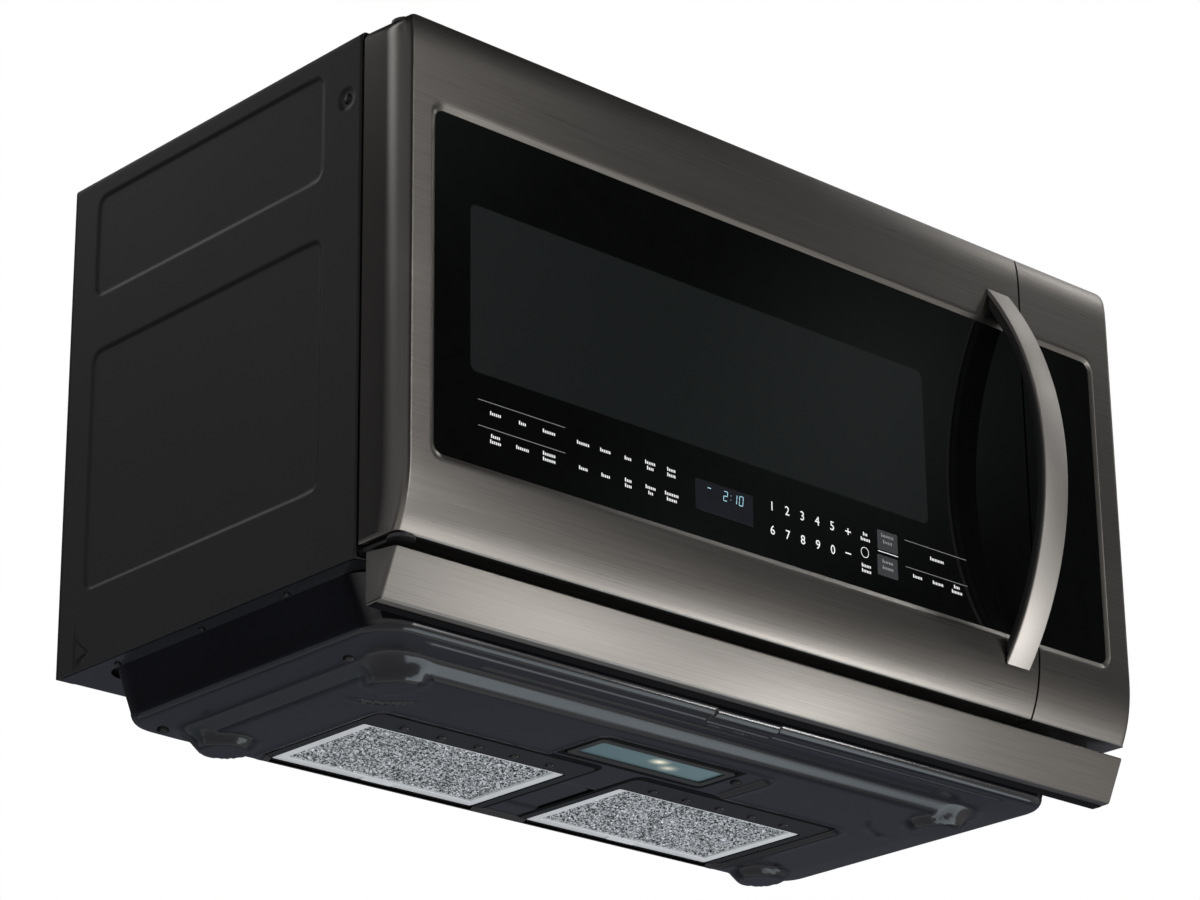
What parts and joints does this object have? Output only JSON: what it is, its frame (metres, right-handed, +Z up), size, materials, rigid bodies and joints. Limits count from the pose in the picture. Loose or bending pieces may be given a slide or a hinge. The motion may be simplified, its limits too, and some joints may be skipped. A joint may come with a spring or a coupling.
{
  "type": "over-the-range microwave oven",
  "caption": "Wall-hung microwave oven for use over a cooktop: side-hinged glass door with bowed handle, turntable cavity, pressed base with grease filters, lamp and slide-out vent.",
  "frame": {"origin": "on the rear face, mid-width, level with the lower edge of the door", "axes": "+X to the right as seen from the front, +Y out of the rear face into the wall, +Z up; the door faces -Y"},
  "size_m": [0.759, 0.456, 0.4633],
  "materials": {
    "black_stainless": "dark brushed stainless, horizontal grain",
    "handle_steel": "bright brushed stainless",
    "satin_black": "satin black paint on steel",
    "gloss_black": "semi-gloss black enamel on pressed steel",
    "black_glass": "black tempered glass",
    "galvanised": "zinc coated sheet",
    "enamel": "pale grey cavity enamel",
    "black_plastic": "black moulded plastic",
    "pale_grey": "pale grey frame",
    "aluminium": "aluminium",
    "lamp_glass": "blue-green lamp glass",
    "clear_glass": "clear tempered glass",
    "dark_steel": "dark steel",
    "circuit_green": "circuit board",
    "mica": "mica sheet",
    "white_plastic": "white moulded plastic",
    "spring_steel": "spring wire",
    "carbon": "carbon granules in a black frame"
  },
  "bodies": {
    "cabinet": {"outer_wrap": "satin_black", "rear_panel": "galvanised", "front_plate": "satin_black", "chassis_plate": "galvanised", "base_pan": "gloss_black", "cord_gland": "black_plastic", "oven_cavity": "enamel", "waveguide_cover": "mica", "waveguide": "galvanised", "magnetron": "aluminium", "transformer": "dark_steel", "capacitor": "aluminium", "power_board": "circuit_green", "fan_shroud": "black_plastic", "fan_motor": "dark_steel", "turntable_motor": "pale_grey", "blower_housing": "galvanised", "blower_motor": "dark_steel", "top_grille": "black_plastic", "charcoal_filter": "carbon", "vent_rail_left": "galvanised", "vent_rail_right": "galvanised", "lamp_housing": "pale_grey", "side_panel_frame": "black_stainless", "side_panel_glass": "black_glass", "hinge_upper": "dark_steel", "hinge_lower": "dark_steel", "latch_board": "white_plastic", "switch_lower": "black_plastic", "switch_middle": "black_plastic", "switch_upper": "black_plastic"},
    "door": {"door_skin": "black_stainless", "door_glass": "black_glass", "choke_frame": "satin_black", "choke_cover": "black_plastic", "window_screen": "dark_steel", "touch_board": "circuit_green", "display_module": "black_plastic", "handle_strap": "handle_steel", "handle_liner": "satin_black"},
    "latch": {"latch_lever": "white_plastic", "latch_spring": "spring_steel"},
    "vent_slide": {"vent_bar": "black_stainless", "vent_visor": "black_plastic"},
    "hub": {"drive_hub": "white_plastic"},
    "tray": {"glass_tray": "clear_glass"},
    "ring": {"roller_ring": "white_plastic"},
    "roller_1": {"roller_1": "white_plastic"},
    "roller_2": {"roller_2": "white_plastic"},
    "roller_3": {"roller_3": "white_plastic"},
    "blower": {"blower_wheel_left": "black_plastic", "blower_wheel_right": "black_plastic"},
    "fan": {"cooling_fan": "white_plastic"},
    "damper_flap": {"damper": "galvanised"},
    "filter_left": {"filter_frame_left": "pale_grey", "filter_mesh_left": "aluminium"},
    "filter_right": {"filter_frame_right": "pale_grey", "filter_mesh_right": "aluminium"},
    "lamp_door": {"lamp_cover": "black_plastic", "lamp_glass": "lamp_glass"}
  },
  "joints": [
    {"name": "door_swing", "type": "hinge", "parent": "cabinet", "child": "door", "pos_m": [-0.3685, -0.387, 0.19], "axis": [0, 0, -1], "range_deg": [0, 110]},
    {"name": "latch_lift", "type": "slide", "parent": "door", "child": "latch", "axis": [0, 0, 1], "range_m": [0, 0.004], "stiffness_N_per_m": 400, "springref_m": -0.008, "deforming": ["latch_spring"]},
    {"name": "vent_slide_out", "type": "slide", "parent": "cabinet", "child": "vent_slide", "axis": [0, -1, 0], "range_m": [0, 0.1]},
    {"name": "hub_spin", "type": "hinge", "parent": "cabinet", "child": "hub", "pos_m": [-0.065, -0.1862, 0.045], "axis": [0, 0, 1], "continuous": true},
    {"name": "tray_lift", "type": "slide", "parent": "hub", "child": "tray", "axis": [0, 0, 1], "range_m": [0, 0.06]},
    {"name": "ring_roll", "type": "hinge", "parent": "cabinet", "child": "ring", "pos_m": [-0.065, -0.1862, 0.0483], "axis": [0, 0, 1], "continuous": true},
    {"name": "roller_spin_1", "type": "hinge", "parent": "ring", "child": "roller_1", "pos_m": [0.047, -0.1862, 0.0483], "axis": [1, 0, 0], "continuous": true},
    {"name": "roller_spin_2", "type": "hinge", "parent": "ring", "child": "roller_2", "pos_m": [-0.121, -0.08921, 0.0483], "axis": [-0.5, 0.866, 0], "continuous": true},
    {"name": "roller_spin_3", "type": "hinge", "parent": "ring", "child": "roller_3", "pos_m": [-0.121, -0.28319, 0.0483], "axis": [-0.5, -0.866, 0], "continuous": true},
    {"name": "blower_spin", "type": "hinge", "parent": "cabinet", "child": "blower", "pos_m": [0, -0.062, 0.341], "axis": [1, 0, 0], "continuous": true},
    {"name": "fan_spin", "type": "hinge", "parent": "cabinet", "child": "fan", "pos_m": [0.3164, -0.052, 0.3], "axis": [0, 1, 0], "continuous": true},
    {"name": "damper_swing", "type": "hinge", "parent": "cabinet", "child": "damper_flap", "pos_m": [0, -0.0146, 0.3898], "axis": [-1, 0, 0], "range_deg": [0, 70]},
    {"name": "filter_left_drop", "type": "hinge", "parent": "cabinet", "child": "filter_left", "pos_m": [-0.128, -0.065, -0.053], "axis": [1, 0, 0], "range_deg": [0, 60]},
    {"name": "filter_right_drop", "type": "hinge", "parent": "cabinet", "child": "filter_right", "pos_m": [0.128, -0.065, -0.053], "axis": [1, 0, 0], "range_deg": [0, 60]},
    {"name": "lamp_door_drop", "type": "hinge", "parent": "cabinet", "child": "lamp_door", "pos_m": [0, -0.222, -0.054], "axis": [1, 0, 0], "range_deg": [0, 80]}
  ],
  "couplings": [
    {"joint": "ring_roll", "follows": "hub_spin", "ratio": 0.5},
    {"joint": "roller_spin_1", "follows": "hub_spin", "ratio": -7},
    {"joint": "roller_spin_2", "follows": "hub_spin", "ratio": -7},
    {"joint": "roller_spin_3", "follows": "hub_spin", "ratio": -7}
  ]
}
